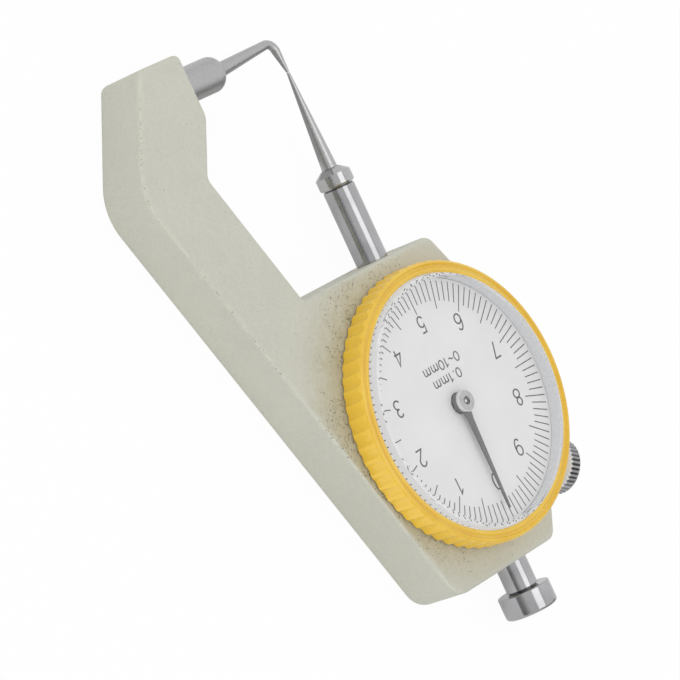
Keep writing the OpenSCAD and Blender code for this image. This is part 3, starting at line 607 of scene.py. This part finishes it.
def lettering(name, words, centre, height, stroke, stretch=1.0):
    """Figures on the dial, upright for someone who holds the caliper with its button up."""
    verts, faces, pen = [], [], 0.0
    full = sum(GLYPHS[c][0] for c in words) + GLYPH_GAP * (len(words) - 1)
    turned = Matrix.Rotation(DIAL_TURN, 2)
    for c in words:
        advance, strokes = GLYPHS[c]
        for points in strokes:
            flat = [Vector(((full / 2 - pen - x) * stretch, 0.5 - y)) * height for x, y in points]
            ribbon([Vector(centre) + turned @ spot for spot in flat], stroke, verts, faces)
        pen += advance + GLYPH_GAP
    printed(name, verts, faces)


def dial_print():
    dial_scale()
    for k in range(DIGITS):
        lettering(f"dial_digit_{k}", str(k), on_dial(DIGIT_R, k / DIGITS), DIGIT_H, DIGIT_STROKE)
    lettering("dial_unit", "0.1mm", UNIT_AT, UNIT_H, UNIT_STROKE, UNIT_STRETCH)
    lettering("dial_reach", "0~10mm", RANGE_AT, UNIT_H, UNIT_STROKE, UNIT_STRETCH)


dial_print()

# Return spring in round wire, hooked on the post and on the spindle's guide pin
PIN_R = 0.6 * MM
WIRE_R = 0.15 * MM
WIRE_SIDES = 10
COIL_R = 1.05 * MM
COIL_TURNS = 17.75
POINTS_PER_TURN = 28
HOOK_POINTS = 12
# How far a hook's middle lies from the middle of the pin or post that it pulls on
HOOK_SLACK = COIL_R - WIRE_R - PIN_R


def tube(points, radius, sides):
    """A closed tube along the points."""
    verts, faces = [], []
    side = Vector((0, 1, 0))
    for i, p in enumerate(points):
        ahead = (points[min(i + 1, len(points) - 1)] - points[max(i - 1, 0)]).normalized()
        side = (side - ahead * side.dot(ahead)).normalized()
        other = ahead.cross(side)
        for k in range(sides):
            a = 2 * math.pi * k / sides
            verts.append(p + (side * math.cos(a) + other * math.sin(a)) * radius)
    for i in range(len(points) - 1):
        for k in range(sides):
            a, b = i * sides + k, i * sides + (k + 1) % sides
            faces.append((a, b, b + sides, a + sides))
    last = (len(points) - 1) * sides
    faces.append(list(range(sides - 1, -1, -1)))
    faces.append(list(range(last, last + sides)))
    return verts, faces


def spring_path(x, z, low, high):
    """The wire's middle: a hook round the guide pin, the coil, and a hook round the post."""
    path = []
    for k in range(HOOK_POINTS, 0, -1):
        a = math.pi * (1 + k / HOOK_POINTS)
        path.append(Vector((x, low + COIL_R * math.sin(a), z - COIL_R * math.cos(a))))
    steps = round(COIL_TURNS * POINTS_PER_TURN)
    for k in range(steps + 1):
        share = k / steps
        a = math.pi / 2 + 2 * math.pi * COIL_TURNS * share
        path.append(Vector((x + COIL_R * math.cos(a), low + (high - low) * share, z + COIL_R * math.sin(a))))
    for k in range(1, HOOK_POINTS + 1):
        a = math.pi * k / HOOK_POINTS
        path.append(Vector((x + COIL_R * math.cos(a), high + COIL_R * math.sin(a), z)))
    return path


def spring():
    x, z = middle("spring_post").x, SPINDLE_Z
    low = middle("guide_pin").y + HOOK_SLACK
    high = middle("spring_post").y - HOOK_SLACK
    verts, faces = tube(spring_path(x, z, low, high), WIRE_R, WIRE_SIDES)
    obj = new_piece("wound_spring", verts, faces, tool_steel, smooth=True)
    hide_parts("return_spring")
    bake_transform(obj)


spring()

# Studio: white floor, even world, soft lamps, and cards and panels that only reflections see
FLOOR_HALF = 6.0
FLOOR_GREY = 0.86
# Shares of plain white in the floor: as it is seen, with the object's shadow left, and as metal mirrors it
FLOOR_SEEN = 0.96
FLOOR_MIRRORED = 0.4
WORLD_STRENGTH = 0.8


def floor():
    m = bpy.data.materials.new("floor_white")
    m.use_nodes = True
    m.node_tree.nodes.clear()
    plain = add(m, "BsdfDiffuse", {"Color": grey(FLOOR_GREY)}).outputs[0]
    glow = add(m, "Emission", {"Color": WHITE, "Strength": 1.0}).outputs[0]
    rays = add(m, "LightPath").outputs
    seen = calc(m, "MAXIMUM", rays["Is Camera Ray"], rays["Is Transmission Ray"])
    share = calc(m, "MAXIMUM", times(m, seen, FLOOR_SEEN), times(m, rays["Is Glossy Ray"], FLOOR_MIRRORED))
    blend = add(m, "MixShader", {0: share, 1: plain, 2: glow}).outputs[0]
    add(m, "OutputMaterial", {"Surface": blend})
    s = FLOOR_HALF
    new_piece("floor", [(-s, -s, 0), (s, -s, 0), (s, s, 0), (-s, s, 0)], [(0, 1, 2, 3)], m)


def reflector(name, corners, look):
    """A four-cornered sheet of the studio that only reflections see."""
    obj = new_piece(name, corners, [(0, 1, 2, 3)], look)
    for ray in ("camera", "diffuse", "shadow", "transmission"):
        setattr(obj, "visible_" + ray, False)


def card(name, centre, size, low, high):
    """A grey card that stands across the way to the object, darker at its foot."""
    wide, tall = size
    m = material(name, Roughness=1.0, Specular_IOR_Level=0.0)
    z = split(m, place(m))[Z]
    rise = ramp(m, z, centre[Z] - tall * 0.3, centre[Z] + tall * 0.5)
    skin(m, "Base Color", mix(m, rise, grey(low), grey(high)))
    at = Vector(centre)
    away = Vector((at.x, at.y, 0)).normalized()
    across = Vector((0, 0, 1)).cross(away) * wide / 2
    up = Vector((0, 0, tall / 2))
    reflector(name, [at - across - up, at + across - up, at + across + up, at - across + up], m)


def panel(name, low, high, reach, strength):
    """A glowing panel between two edges that run along Y, each given by its x and z."""
    m = material(name, Base_Color=BLACK, Specular_IOR_Level=0.0, Emission_Color=WHITE,
                 Emission_Strength=strength)
    (xa, za), (xb, zb), (near, far) = low, high, reach
    reflector(name, [(xa, near, za), (xb, near, zb), (xb, far, zb), (xa, far, za)], m)


def lamp(name, at, aim, size, watts):
    data = bpy.data.lights.new(name, "AREA")
    data.shape = "RECTANGLE"
    data.size, data.size_y = size
    data.energy = watts
    obj = bpy.data.objects.new(name, data)
    back = (Vector(at) - Vector(aim)).normalized()
    wide = (Vector((1, 0, 0)) - back * back.x).normalized()
    turn = Matrix((wide, back.cross(wide), back)).transposed().to_4x4()
    obj.matrix_world = Matrix.Translation(at) @ turn
    obj.visible_glossy = False
    obj.visible_transmission = False
    scene.collection.objects.link(obj)


def sky():
    world = bpy.data.worlds.new("studio")
    scene.world = world
    world.use_nodes = True
    background = world.node_tree.nodes["Background"]
    background.inputs["Color"].default_value = WHITE
    background.inputs["Strength"].default_value = WORLD_STRENGTH


def studio():
    floor()
    sky()
    lamp("soft_box", at=(0.05, 0.0, 0.75), aim=(0, 0.01, 0), size=(0.4, 0.4), watts=0.45)
    lamp("fill_left", at=(-0.8, -0.25, 0.35), aim=(0, 0, 0), size=(0.8, 0.6), watts=1.6)
    lamp("fill_top", at=(0.1, 0.8, 0.3), aim=(0, 0, 0), size=(0.7, 0.4), watts=1.1)
    panel("strip_over", low=(-0.24, 0.75), high=(0.19, 0.75), reach=(-0.5, 0.4), strength=1.85)
    panel("shade_below", low=(-0.022, 0.0004), high=(0.012, 0.0004), reach=(0.037, 0.056), strength=0.52)
    panel("wall_right", low=(0.85, 0.0), high=(0.75, 1.6), reach=(-0.9, 0.9), strength=0.95)
    card("card_left", centre=(-0.62, 0.0, 0.25), size=(1.6, 0.5), low=0.3, high=0.85)
    card("card_low", centre=(0.5, -0.5, 0.2), size=(0.8, 0.4), low=0.2, high=0.8)


studio()
